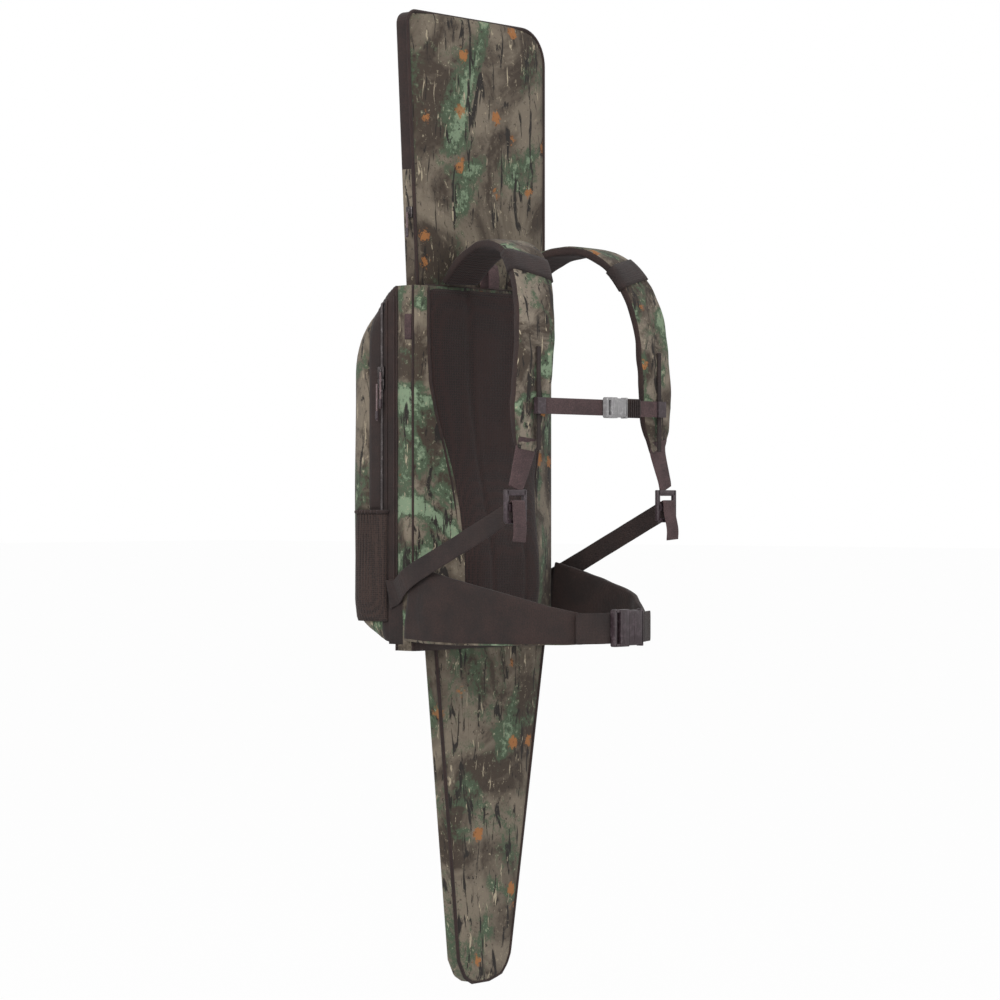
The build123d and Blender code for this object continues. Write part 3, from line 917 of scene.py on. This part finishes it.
# ---- Sleeve, back pad and harness side ----------------------------------------------
@dataclass
class BackPanel:
    """The harness side: printed margins, the mesh pad over foam, piping, the sleeve's sides."""

    finishes: Finishes
    hem: float = 16 * MM

    def pad_half(self, z: float) -> float:
        """Half of the pad's width at a height."""
        t = (high("back_pad", 2) - z) / (high("back_pad", 2) - low("back_pad", 2))
        return interpolate((116, 120, 120, 117, 106, 92, 82, 78, 77, 77, 76, 72), t) * MM

    def pad_depth(self, z: float) -> float:
        """The pad's thickness at a height."""
        t = (high("back_pad", 2) - z) / (high("back_pad", 2) - low("back_pad", 2))
        return interpolate((9, 15, 17, 17, 17, 17, 18, 22, 29, 36, 41, 42, 38, 20), t) * MM

    def build_margins(self) -> None:
        """Make the printed cloth between the pad and the side seams, with its brown hem."""
        wall, seam = low("sleeve_front_wall", 1), high("sleeve_front_wall", 1)
        half = high("sleeve_front_wall", 0)
        rings = []
        for z in span(low("sleeve_front_wall", 2), high("sleeve_front_wall", 2), 60):
            edge = self.pad_half(max(min(z, high("back_pad", 2)), low("back_pad", 2)))
            rise = 0.72 * self.pad_depth(max(min(z, high("back_pad", 2)), low("back_pad", 2) + 25 * MM))
            near_bottom = min(1.0, (z - low("sleeve_front_wall", 2)) / (45 * MM))
            rise *= near_bottom
            ring = [(-half, seam, z)]
            profile = []
            for k in range(9):
                s = k / 8
                x = -half + (half - edge + 4 * MM) * s
                y = wall - rise * s ** 1.3 - 2.5 * MM * sin(pi * s)
                y += noise.noise(Vector((x * 25, z * 18, 1.0))) * 1.2 * MM * sin(pi * s)
                profile.append((x, y))
            ring += [(x, y, z) for x, y in profile]
            ring += [(-x, y, z) for x, y in reversed(profile)]
            ring.append((half, seam, z))
            rings.append(ring)
        limit = low("sleeve_front_wall", 2) + self.hem
        margins = stack(
            "sleeve_margins", rings, [self.finishes.camo, self.finishes.brown],
            lambda centre: 1 if centre.z < limit else 0,
        )
        place(margins, "pack", "camo_cloth", "sleeve_front_wall", "frame_sheet")

    def build_pad(self) -> None:
        """Make the crowned mesh pad with two sewn channels and its piping."""
        back, foot, head = high("back_pad", 1), low("back_pad", 2), high("back_pad", 2)
        columns, end_round = 40, 10 * MM
        rings = []
        left_edge, right_edge = [], []
        for z in span(foot, head, 90):
            half, depth = self.pad_half(z), self.pad_depth(z)
            ends = min(1.0, (z - foot) / end_round + 0.25, (head - z) / end_round + 0.25)
            ring = []
            for k in range(columns + 1):
                u = -1 + 2 * k / columns
                y = depth * (1 - 0.42 * abs(u) ** 6) * ends
                for channel in (-0.42, 0.42):
                    y -= 2.4 * MM * max(0.0, 1 - abs(u - channel) / 0.06) * ends
                y += noise.noise(Vector((u * 3, z * 9, 4.0))) * 1.4 * MM
                ring.append((u * half, back - y, z))
            left_edge.append(Vector((-half - 1 * MM, back - 0.55 * depth * ends, z)))
            right_edge.append(Vector((half + 1 * MM, back - 0.55 * depth * ends, z)))
            ring += [(half, back, z), (-half, back, z)]
            rings.append(ring)
        pad = stack("back_pad_mesh", rings, [self.finishes.pad_mesh])
        place(pad, "pack", "pad_mesh", "back_pad")
        loop = left_edge + list(reversed(right_edge))
        piping = tube("back_pad_piping", loop, 2.2 * MM, self.finishes.binding, closed=True)
        place(piping, "pack", "pad_mesh")

    def build_sides(self) -> None:
        """Make the sleeve's two printed side strips, their seams and the small tabs."""
        for side in Side:
            node = f"sleeve_gusset_{side.word}"
            face = high(node, 0) if side is Side.RIGHT else -low(node, 0)
            columns, rows = 7, 60
            heights = span(low(node, 2), high(node, 2), rows)
            depths = span(low(node, 1), high(node, 1), columns)
            points = [
                (side.value * (face + 2.2 * MM * sin(pi * k / (columns - 1))
                 + noise.noise(Vector((y * 30, z * 20, side.value))) * 0.8 * MM), y, z)
                for z in heights for k, y in enumerate(depths)
            ]
            strip = finish_mesh(
                f"sleeve_side_{side.word}", points, grid_faces(rows, columns), [self.finishes.camo]
            )
            skin(strip, 1.2 * MM)
            place(strip, "pack", "camo_cloth", node)
            for name, y in (("front", low(node, 1)), ("rear", high(node, 1))):
                seam = [Vector((side.value * (face + 0.8 * MM), y, z)) for z in heights]
                piece = tube(f"sleeve_seam_{name}_{side.word}", seam, 1.5 * MM, self.finishes.binding)
                place(piece, "pack", "camo_cloth")
            for tab, width, material in (
                (f"side_tab_{side.word}", 12 * MM, self.finishes.webbing),
                (f"anchor_patch_{side.word}", 30 * MM, self.finishes.brown),
            ):
                centre = middle(tab)
                path = [Vector((centre.x, centre.y, z)) for z in span(high(tab, 2), low(tab, 2), 8)]
                piece = band(
                    f"{tab}_cloth", path, [width] * 2, [2.4 * MM] * 2, steady(0, 1, 0), [material]
                )
                place(piece, "pack", "brown_cloth", tab)

    def build_loop(self) -> None:
        """Make the webbing hang loop."""
        (_, y0, z0), (_, y1, z1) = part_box("hang_loop")
        half = 1.0 * MM
        path = smooth_path([
            (0, y0 + half, z0 + half), (0, y0 + half, (z0 + z1) / 2), (0, y0 + 3 * MM, z1 - 2.5 * MM),
            (0, 0, z1 - half), (0, y1 - 3 * MM, z1 - 2.5 * MM), (0, y1 - half, (z0 + z1) / 2),
            (0, y1 - half, z0 + half),
        ], 5)
        width = high("hang_loop", 0) - low("hang_loop", 0)
        piece = band(
            "hang_loop_webbing", path, [width] * 2, [2 * half] * 2, steady(1, 0, 0),
            [self.finishes.webbing],
        )
        place(piece, "pack", "webbing", "hang_loop")

    def build(self) -> None:
        """Make the harness side."""
        self.build_margins()
        self.build_pad()
        self.build_sides()
        self.build_loop()


# ---- Bag ----------------------------------------------------------------------------
@dataclass
class Bag:
    """The main bag: brown zip gussets, printed door and tub, mesh side pockets, the zip."""

    finishes: Finishes
    corner: float = 45 * MM
    fill: float = 7 * MM
    top_round: float = 115 * MM
    foot_round: float = 54 * MM
    cloth: float = 2 * MM
    mesh: float = 1.4 * MM
    zip_start: float = 30 * MM
    zip_corner: float = 14 * MM
    gather: float = 1.1 * MM
    gathers: int = 12

    def __post_init__(self) -> None:
        """Read the bag's planes from the frame."""
        self.back = low("gusset_rear", 1)
        self.zip = high("gusset_rear", 1)
        self.panel = low("front_panel", 1)
        self.front = high("front_panel", 1)
        self.top = high("gusset_rear", 2)
        self.bottom = low("gusset_rear", 2)
        self.half = high("gusset_rear", 0)
        self.door = low("front_panel", 2)

    def reach(self, z: float) -> float:
        """How far forward the bag comes at a height."""
        over = (z - (self.top - self.top_round)) / self.top_round
        under = (self.bottom + self.foot_round - z) / self.foot_round
        depth = self.front - self.back
        if over > 0:
            return self.back + depth * max(1 - over ** 2.4, 0) ** 0.8
        if under > 0:
            return self.back + depth * max(1 - under ** 2.2, 0) ** 0.6
        return self.front

    def height_of(self, y: float) -> float:
        """The height on the sloping top where the bag comes forward to y."""
        share = ((y - self.back) / (self.front - self.back)) ** 1.25
        return self.top - self.top_round + self.top_round * (1 - share) ** (1 / 2.4)

    def ring(self, z: float) -> list[Point]:
        """The bag's outline in plan at a height, from the left back round to the right back."""
        front = self.reach(z)
        r = min(self.corner, 0.8 * (front - self.back))

        def x_at(y: float) -> float:
            over = max(y - (front - r), 0)
            return self.half - r + sqrt(max(r * r - over * over, 0))

        levels = span(self.back, self.zip, 5) + span(self.zip, self.panel, 5)[1:]
        levels = [min(y, front) for y in levels]
        last = levels[-1]
        levels += [last + (front - last) * sin(pi / 2 * k / 9) for k in range(1, 10)]
        side = [(x_at(y), y) for y in levels]
        across = self.half - r
        flat = [(x, front) for x in span(-across, across, 22)[1:-1]]
        outline = [(-x, y) for x, y in side] + flat + list(reversed(side))
        result = []
        for x, y in outline:
            share = max(0.0, (y - self.panel) / (self.front - self.panel))
            tall = max(0.0, sin(pi * (z - self.bottom) / (self.top - self.bottom)))
            puff = self.fill * share * tall * max(0.0, 1 - (x / self.half) ** 2)
            crease = noise.noise(Vector((x * 11, y * 11, z * 9))) * 2.6 * MM * min(1.0, share * 3)
            result.append((x, y + puff + crease, z))
        return result

    def build_shell(self) -> None:
        """Make the four cloth parts of the bag, which meet at the zip and at the door's foot."""
        rows = {self.height_of(self.zip), self.height_of(self.panel)}
        rows |= set(span(self.bottom, self.bottom + self.foot_round, 16))
        rows |= set(span(self.bottom + 62 * MM, self.door, 12))
        rows |= set(span(self.door + 8 * MM, self.top - self.top_round, 18))
        rows |= {self.top - self.top_round * (1 - sin(pi / 2 * k / 18)) for k in range(19)}
        heights = sorted(rows)
        rings = [self.ring(z) for z in heights]
        count = len(rings[0])
        parts: dict[str, list[list[Point]]] = {"rear": [], "gusset": [], "panel": [], "tub": []}
        for below, above in zip(rings, rings[1:]):
            for k in range(count - 1):
                quad = [below[k], below[k + 1], above[k + 1], above[k]]
                y = sum(self.plain_y(p) for p in quad) / 4
                z = sum(p[2] for p in quad) / 4
                if y < self.zip:
                    parts["rear"].append(quad)
                elif z < self.door:
                    parts["tub"].append(quad)
                else:
                    parts["gusset" if y < self.panel else "panel"].append(quad)
        for word, body, slot, node, material in (
            ("rear", "pack", "brown_cloth", "gusset_rear", self.finishes.brown),
            ("gusset", "door", "brown_cloth", "gusset_front", self.finishes.brown),
            ("panel", "door", "camo_cloth", "front_panel", self.finishes.camo),
            ("tub", "pack", "camo_cloth", "lower_tub", self.finishes.camo),
        ):
            points = [p for quad in parts[word] for p in quad]
            faces = [[4 * k, 4 * k + 1, 4 * k + 2, 4 * k + 3] for k in range(len(parts[word]))]
            piece = finish_mesh(f"bag_{word}_cloth", points, faces, [material])
            skin(piece, self.cloth)
            place(piece, body, slot, node)
        refinish("main_back_wall", self.finishes.brown)

    def plain_y(self, point: Point) -> float:
        """A point's depth on the sharp form, for sorting it to its cloth."""
        return min(point[1], self.reach(point[2]))

    def build_zip(self) -> None:
        """Make the zip's coil round the seam, two ridges of stitching, the sliders and pulls."""
        for name, y, radius, material in (
            ("zip_coil", self.zip, 1.8 * MM, self.finishes.zip_metal),
            ("zip_ridge_rear", self.zip - 8 * MM, 1.1 * MM, self.finishes.binding),
            ("gusset_seam", self.back + 1 * MM, 1.6 * MM, self.finishes.binding),
        ):
            top = self.height_of(y)
            rise = span(self.bottom + self.zip_start, top - self.zip_corner, 60)
            left = [Vector((-self.half - 0.6 * MM, y, z)) for z in rise]
            crown = []
            for k in range(1, 20):
                s = -1 + k / 10
                drop = self.zip_corner * abs(s) ** 10
                crown.append(Vector((self.half * s * 0.992, y, top - drop + 0.8 * MM)))
            right = [Vector((-p.x, p.y, p.z)) for p in reversed(left)]
            place(tube(name, left + crown + right, radius, material), "pack", "brown_cloth")
        for word in ("upper", "lower"):
            dress_slider(f"zip_slider_{word}", self.finishes)
            dress_pull(f"zip_pull_{word}", self.finishes)

    def build_pockets(self) -> None:
        """Make the gathered mesh pockets with their bound mouths."""
        for side in Side:
            node = f"mesh_pocket_{side.word}"
            (x0, y0, z0), (x1, y1, z1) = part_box(node)
            inner = min(abs(x0), abs(x1))
            depth = abs(x1 - x0)
            columns, rows = 44, 26
            points, mouth = [], []
            for r in range(rows):
                z = z0 + (z1 - z0) * r / (rows - 1)
                for k in range(columns):
                    s = k / (columns - 1)
                    y = y0 + (min(y1, self.reach(z) - 14 * MM) - y0) * s
                    fullness = 0.55 + 0.45 * sin(pi * min(0.5 + r / rows / 2, 1)) ** 0.5
                    out = depth * sin(pi * s) ** 0.35 * fullness
                    out *= min(1.0, 0.35 + r / 7)
                    pleat = self.gather * sin(s * 2 * pi * self.gathers)
                    out += pleat * (0.3 + 0.7 * r / rows) * sin(pi * s)
                    curve = max(0.0, y - (self.front - self.corner))
                    back = self.half - self.corner + sqrt(max(self.corner ** 2 - curve ** 2, 0)) - inner
                    x = side.value * (inner + out + min(back, 0) * s)
                    points.append((x, y, z))
                    if r == rows - 1:
                        mouth.append(Vector((x, y, z)))
            pocket = finish_mesh(
                f"pocket_mesh_{side.word}", points, grid_faces(rows, columns), [self.finishes.pocket_mesh]
            )
            skin(pocket, self.mesh)
            place(pocket, "pack", "pad_mesh", node)
            binding = tube(f"pocket_binding_{side.word}", mouth, 2.6 * MM, self.finishes.binding)
            place(binding, "pack", "pad_mesh")

    def build(self) -> None:
        """Make the whole bag."""
        self.build_shell()
        self.build_zip()
        self.build_pockets()


# ---- Harness ------------------------------------------------------------------------
@dataclass
class Harness:
    """Padded shoulder straps with their bands, tails, ladder locks and lower webbing."""

    finishes: Finishes
    strap_width: float = 65 * MM
    strap_thickness: float = 13 * MM
    turn: float = 0.07
    webbing: float = 25 * MM
    band_from: float = 0.375
    band_to: float = 0.455

    def strap_path(self, side: Side) -> list[Vector]:
        """The middle of one shoulder strap, from its root to its tail."""
        wall = low("sleeve_front_wall", 1)
        places = (
            (60, -10, -24), (63, -34, -2), (70, -68, 15), (80, -106, 17), (93, -140, 2), (105, -163, -30),
            (113, -175, -68), (118, -179, -107), (123, -179, -148), (126, -178, -184), (130, -176.5, -214),
            (133, -176, -238),
        )
        return smooth_path([(side.value * x * MM, wall + y * MM, z * MM) for x, y, z in places], 8)

    def build_strap(self, side: Side) -> None:
        """Make one padded strap: printed face, mesh lining, bound edges."""
        path = self.strap_path(side)
        across = steady(cos(self.turn), side.value * sin(self.turn), 0)

        def slot_of(t: float, around: float) -> int:
            """Printed outside, mesh inside, binding along both edges."""
            if 0.085 < around < 0.415:
                return 1
            return 0 if 0.585 < around < 0.915 else 2

        full = self.strap_width
        strap = band(
            f"shoulder_strap_{side.word}_pad", path,
            [full * s for s in (0.92, 1, 1, 1, 1, 1, 1, 1, 1, 0.98, 0.78, 0.46)],
            [self.strap_thickness * s for s in (0.7, 1, 1, 1, 1, 1, 1, 1, 1, 1, 0.85, 0.45)], across,
            [self.finishes.camo_strap, self.finishes.pad_mesh, self.finishes.binding], ring=40,
            slot_of=slot_of, ripple=1.6 * MM,
        )
        place(strap, "pack", "strap_cloth", f"shoulder_strap_{side.word}")
        start, end = int(len(path) * self.band_from), int(len(path) * self.band_to)
        wrap = band(
            f"strap_band_{side.word}_webbing", path[start:end], [full + 4 * MM] * 2,
            [self.strap_thickness + 4 * MM] * 2, across, [self.finishes.dark_webbing], ring=36,
        )
        place(wrap, "pack", "webbing", f"strap_band_{side.word}")
        lock = middle(f"ladder_lock_{side.word}")
        top = high(f"ladder_lock_{side.word}", 2)
        tail = smooth_path([
            path[-6] + Vector((0, -4 * MM, 0)), path[-1] + Vector((0, -1 * MM, 0)),
            (lock.x - side.value * 5 * MM, lock.y - 1 * MM, top + 14 * MM), (lock.x, lock.y, top + 1 * MM),
        ], 8)
        piece = band(
            f"strap_tail_{side.word}_webbing", tail, (34 * MM, 34 * MM, 27 * MM, 25 * MM), [3 * MM] * 2,
            across, [self.finishes.webbing],
        )
        place(piece, "pack", "webbing", f"strap_tail_{side.word}")

    def build_lock(self, side: Side) -> None:
        """Make one ladder lock of moulded bars, and the webbing tail that hangs from it."""
        node = f"ladder_lock_{side.word}"
        (x0, y0, z0), (x1, y1, z1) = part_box(node)
        rail = 6 * MM
        tall = z1 - z0
        bars = [((x0, y0, z0 + 2 * MM), (x0 + rail, y1, z1)), ((x1 - rail, y0, z0 + 2 * MM), (x1, y1, z1))]
        for low_share, high_share in ((0.0, 0.14), (0.36, 0.58), (0.82, 1.0)):
            bars.append(
                ((x0 + 2 * MM, y0, z0 + tall * low_share), (x1 - 2 * MM, y1, z0 + tall * high_share))
            )
        place(moulded(f"{node}_frame", bars, self.finishes.plastic, 1.3 * MM), node, "dark_plastic", node)
        x, y = (x0 + x1) / 2, (y0 + y1) / 2
        tail = smooth_path([
            (x, y + 4 * MM, z0 + 0.5 * tall), (x, y0 - 2 * MM, z0 + 0.66 * tall),
            (x, y0 - 4 * MM, z0 + 0.3 * tall), (x + side.value * 2 * MM, y0 - 7 * MM, z0 - 8 * MM),
            (x + side.value * 3 * MM, y0 - 6 * MM, z0 - 22 * MM),
        ], 8)
        piece = band(
            f"{node}_tail", tail, [24 * MM] * 2, [2 * MM] * 2, steady(1, 0, 0), [self.finishes.webbing]
        )
        place(piece, node, "webbing")

    def build_lower(self, side: Side) -> None:
        """Make the lower webbing from the ladder lock to its sewn tab on the side."""
        node = f"lower_webbing_{side.word}"
        (x0, y0, z0), (x1, y1, z1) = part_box(node)
        outer, inner = max(abs(x0), abs(x1)) - 1 * MM, min(abs(x0), abs(x1)) + 1 * MM
        half, deep = self.webbing / 2, y1 - y0
        path = smooth_path([
            (side.value * outer, y0 + 0.5 * MM, z1 - half),
            (side.value * outer, y0 + 0.42 * deep, z1 - half - 44 * MM),
            (side.value * outer, y0 + 0.78 * deep, z1 - half - 82 * MM),
            (side.value * (inner + 1 * MM), y1 - 14 * MM, z0 + half + 4 * MM),
            (side.value * inner, y1, z0 + half),
        ], 10)
        piece = band(
            f"{node}_strip", path, (2 * half, 2 * half, 2.2 * half, 3 * half), [2 * MM] * 2,
            steady(0, 0.42, 0.9), [self.finishes.dark_webbing], ripple=0.8 * MM,
        )
        place(piece, "pack", "webbing", node)

    def build(self) -> None:
        """Make both sides."""
        for side in Side:
            self.build_strap(side)
            self.build_lock(side)
            self.build_lower(side)


@dataclass
class Buckle:
    """A side-release buckle: ribbed male body, two prongs and an open female shell."""

    prefix: str
    male_body: str
    female_body: str
    plastic: bpy.types.Material
    slot: str

    def build(self) -> None:
        """Make the four moulded pieces in their nodes' places."""
        (x0, y0, z0), (x1, y1, z1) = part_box(f"{self.prefix}_male")
        wide = x1 - x0
        bars = [
            ((x0, y0 + 1 * MM, z0 + 1 * MM), (x0 + 0.16 * wide, y1, z1 - 1 * MM)),
            ((x0 + 0.38 * wide, y0, z0), (x1, y1, z1)),
            ((x0 + 1 * MM, y0 + 1 * MM, z0), (x0 + 0.5 * wide, y1, z0 + 4 * MM)),
            ((x0 + 1 * MM, y0 + 1 * MM, z1 - 4 * MM), (x0 + 0.5 * wide, y1, z1)),
            ((x0 + 0.6 * wide, y0 - 0.8 * MM, z0 + 4 * MM), (x0 + 0.7 * wide, y0 + 2 * MM, z1 - 4 * MM)),
        ]
        node = f"{self.prefix}_male"
        place(moulded(f"{node}_body", bars, self.plastic, 0.9 * MM), self.male_body, self.slot, node)
        (x0, y0, z0), (x1, y1, z1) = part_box(f"{self.prefix}_female")
        wall = 1.7 * MM
        plates = [
            ((x0, y0, z0 + 2 * MM), (x1 - 1 * MM, y0 + wall, z1 - 2 * MM)),
            ((x0, y1 - wall, z0 + 2 * MM), (x1 - 1 * MM, y1, z1 - 2 * MM)),
            ((x1 - wall - 2 * MM, y0, z0), (x1, y1, z1)),
            ((x0 + 0.35 * (x1 - x0), y0 - 0.7 * MM, z0 + 5 * MM), (x1 - 4 * MM, y0 + 1 * MM, z1 - 5 * MM)),
        ]
        node = f"{self.prefix}_female"
        place(moulded(f"{node}_body", plates, self.plastic, 0.8 * MM), self.female_body, self.slot, node)
        for word in ("upper", "lower"):
            node = f"{self.prefix}_prong_{word}"
            body = node.replace("_buckle", "")
            place(moulded(f"{node}_body", [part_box(node)], self.plastic, 1.4 * MM), body, self.slot, node)


@dataclass
class SternumStrap:
    """The chest strap on its two vertical rails."""

    finishes: Finishes
    webbing: float = 1.9 * MM
    rib: float = 2.6 * MM
    ribs: int = 7

    def build(self) -> None:
        """Make the webbing, the ribbed elastic adjuster and the buckle."""
        for side in Side:
            node = f"sternum_webbing_{side.word}"
            (x0, y0, z0), (x1, y1, z1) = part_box(node)
            y, z = (y0 + y1) / 2, (z0 + z1) / 2
            path = [Vector((x, y, z)) for x in span(x0, x1, 24)]
            piece = band(
                f"{node}_strip", path, [z1 - z0] * 2, [self.webbing] * 2, steady(0, 0, 1),
                [self.finishes.webbing],
            )
            place(piece, f"sternum_{side.word}", "webbing", node)
            for part, material in (("rail", self.finishes.dark_webbing), ("slider", self.finishes.plastic)):
                refinish(f"sternum_{part}_{side.word}", material)
        (x0, y0, z0), (x1, y1, z1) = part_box("sternum_adjuster")
        ribs = [((x0, y0 + 2 * MM, z0 + 1 * MM), (x1, y1, z1 - 1 * MM))]
        starts = span(x0 + 1 * MM, x1 - 4 * MM, self.ribs)
        ribs += [((x, y0, z0), (x + self.rib, y1, z1)) for x in starts]
        adjuster = moulded("sternum_adjuster_ribs", ribs, self.finishes.dark_webbing, 0.8 * MM)
        place(adjuster, "sternum_right", "webbing", "sternum_adjuster")
        Buckle(
            "sternum_buckle", "sternum_male", "sternum_right", self.finishes.pale_plastic, "grey_plastic"
        ).build()


@dataclass
class HipBelt:
    """The padded wings, the belt webbing and its buckle."""

    finishes: Finishes
    root: float = 141.4 * MM
    webbing: float = 2 * MM

    def build_wing(self, side: Side) -> None:
        """Make one padded wing, from the pack's side round to the belt webbing."""
        node = f"hip_wing_{side.word}"
        (_, y0, _), (_, y1, _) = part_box(node)
        places = (
            (self.root, y1 - 3 * MM, -428), (143 * MM, y1 - 38 * MM, -433), (138 * MM, y1 - 82 * MM, -439),
            (120 * MM, y1 - 148 * MM, -447), (92 * MM, y1 - 184 * MM, -453),
            (66 * MM, y0 + 16 * MM, -457), (58 * MM, y0 + 11 * MM, -457),
        )
        path = smooth_path([(side.value * x, y, z * MM) for x, y, z in places], 9)

        def slot_of(t: float, around: float) -> int:
            """Brown cloth, with a printed lower edge on all but the tip."""
            return 1 if 0.40 < around < 0.60 and t < 0.8 else 0

        wing = band(
            f"{node}_pad", path, [w * MM for w in (96, 90, 80, 62, 48, 39, 37)],
            [t * MM for t in (9, 11, 11.5, 11, 9, 5, 3)], steady(0, 0, 1),
            [self.finishes.brown, self.finishes.camo], ring=40, slot_of=slot_of, ripple=1.8 * MM,
        )
        place(wing, "pack", "brown_cloth", node)

    def build_webbing(self, side: Side) -> None:
        """Make one belt webbing, from inside the wing's tip to the buckle."""
        node = f"hip_webbing_{side.word}"
        (x0, y0, z0), (x1, y1, z1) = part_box(node)
        near = min(abs(x0), abs(x1))
        y, z = y0 + 1 * MM, (z0 + z1) / 2
        path = smooth_path([
            (side.value * 74 * MM, y1 + 4 * MM, z), (side.value * 58 * MM, y1 - 3 * MM, z),
            (side.value * 42 * MM, y + 0.6 * MM, z), (side.value * 30 * MM, y, z),
            (side.value * near, y, z),
        ], 8)
        strip = band(
            f"{node}_strip", path, [z1 - z0] * 2, [self.webbing] * 2, steady(0, 0, 1),
            [self.finishes.dark_webbing],
        )
        place(strip, "pack", "webbing", node)

    def build(self) -> None:
        """Make both sides and the buckle."""
        for side in Side:
            self.build_wing(side)
            self.build_webbing(side)
        Buckle("hip_buckle", "hip_male", "pack", self.finishes.plastic, "dark_plastic").build()


# ---- Studio -------------------------------------------------------------------------
@dataclass
class Studio:
    """A plain white studio with soft lamps and the camera."""

    azimuth: float = -50.0
    distance: float = 4.2
    view_width: float = 1.28
    aim_right: float = 0.0133
    aim_height: float = -0.299
    sensor: float = 36.0
    lamp_distance: float = 2.0

    def build(self) -> None:
        """Make the camera, lamps, world, floor and backdrop."""
        angle = self.azimuth * pi / 180
        right = Vector((cos(angle), sin(angle), 0))
        back = Vector((sin(angle), -cos(angle), 0))
        aim = right * self.aim_right + Vector((0, 0, self.aim_height))
        lens = bpy.data.cameras.new("camera")
        lens.sensor_width = self.sensor
        lens.lens = self.sensor * self.distance / self.view_width
        camera = bpy.data.objects.new("camera", lens)
        camera.location = aim + back * self.distance
        camera.rotation_euler = (pi / 2, 0, angle)
        bpy.context.collection.objects.link(camera)
        bpy.context.scene.camera = camera
        for name, shift, up, size, power in (
            ("key_lamp", -1.2, 1.3, 1.8, 34.0),
            ("fill_lamp", 1.8, 0.3, 2.2, 20.0),
            ("top_lamp", 0.2, 2.2, 1.6, 14.0),
        ):
            light = bpy.data.lights.new(name, "AREA")
            light.size = size
            light.energy = power
            lamp = bpy.data.objects.new(name, light)
            lamp.location = aim + back * self.lamp_distance + right * shift + Vector((0, 0, up))
            lamp.rotation_euler = (aim - lamp.location).to_track_quat("-Z", "Y").to_euler()
            bpy.context.collection.objects.link(lamp)
        self.build_world()
        self.build_floor()
        bpy.context.scene.view_settings.view_transform = "Standard"

    def build_world(self) -> None:
        """Make the world white to the camera, and a soft pale grey as a light."""
        world = bpy.data.worlds.new("studio")
        world.use_nodes = True
        tree = world.node_tree
        path = add_node(tree, "LightPath")
        seen = path.outputs["Is Camera Ray"]
        for ray in ("Is Glossy Ray", "Is Transmission Ray"):
            seen = add_node(tree, "Math", {0: seen, 1: path.outputs[ray]}, operation="MAXIMUM").outputs[0]
        strength = add_node(tree, "MapRange", {"Value": seen, "To Min": 0.4, "To Max": 1.0})
        tree.nodes["Background"].inputs["Color"].default_value = (1, 1, 1, 1)
        tree.links.new(strength.outputs[0], tree.nodes["Background"].inputs["Strength"])
        bpy.context.scene.world = world

    def build_floor(self) -> None:
        """Make the plain pale floor just below the case's tip."""
        size, drop = 40.0, 0.12
        height = low("gun_case_shell", 2) - drop
        points = [(x, y, height) for x, y in ((-size, -size), (size, -size), (size, size), (-size, size))]
        material, shader = new_material("matt_white_floor", 0.95)
        shader.inputs["Base Color"].default_value = (0.95, 0.95, 0.95, 1)
        tree = material.node_tree
        path = add_node(tree, "LightPath")
        # Seen by the camera the floor is nearly as white as the backdrop, and keeps a soft shadow.
        share = add_node(tree, "MapRange", {"Value": path.outputs["Is Camera Ray"], "To Max": 0.97})
        glow = add_node(tree, "Emission", {"Color": (1, 1, 1, 1), "Strength": 1.0})
        blend = add_node(tree, "MixShader", {0: share.outputs[0], 1: shader.outputs[0], 2: glow.outputs[0]})
        tree.links.new(blend.outputs[0], tree.nodes["Material Output"].inputs["Surface"])
        floor = finish_mesh("floor", points, [(0, 1, 2, 3)], [material])
        floor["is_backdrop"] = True


def main() -> None:
    """Build the sub-assemblies in order around the frame."""
    logging.basicConfig(level=logging.INFO, format="%(name)s: %(message)s")
    finishes = Finishes()
    GunCase(finishes).build()
    Bag(finishes).build()
    BackPanel(finishes).build()
    Harness(finishes).build()
    SternumStrap(finishes).build()
    HipBelt(finishes).build()
    Studio().build()
    bpy.context.view_layer.update()
    boxes = {"cad": CAD_BOX, "visual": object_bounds()}
    plain = {word: [[float(v) for v in corner] for corner in box] for word, box in boxes.items()}


if __name__ == "__main__":
    main()
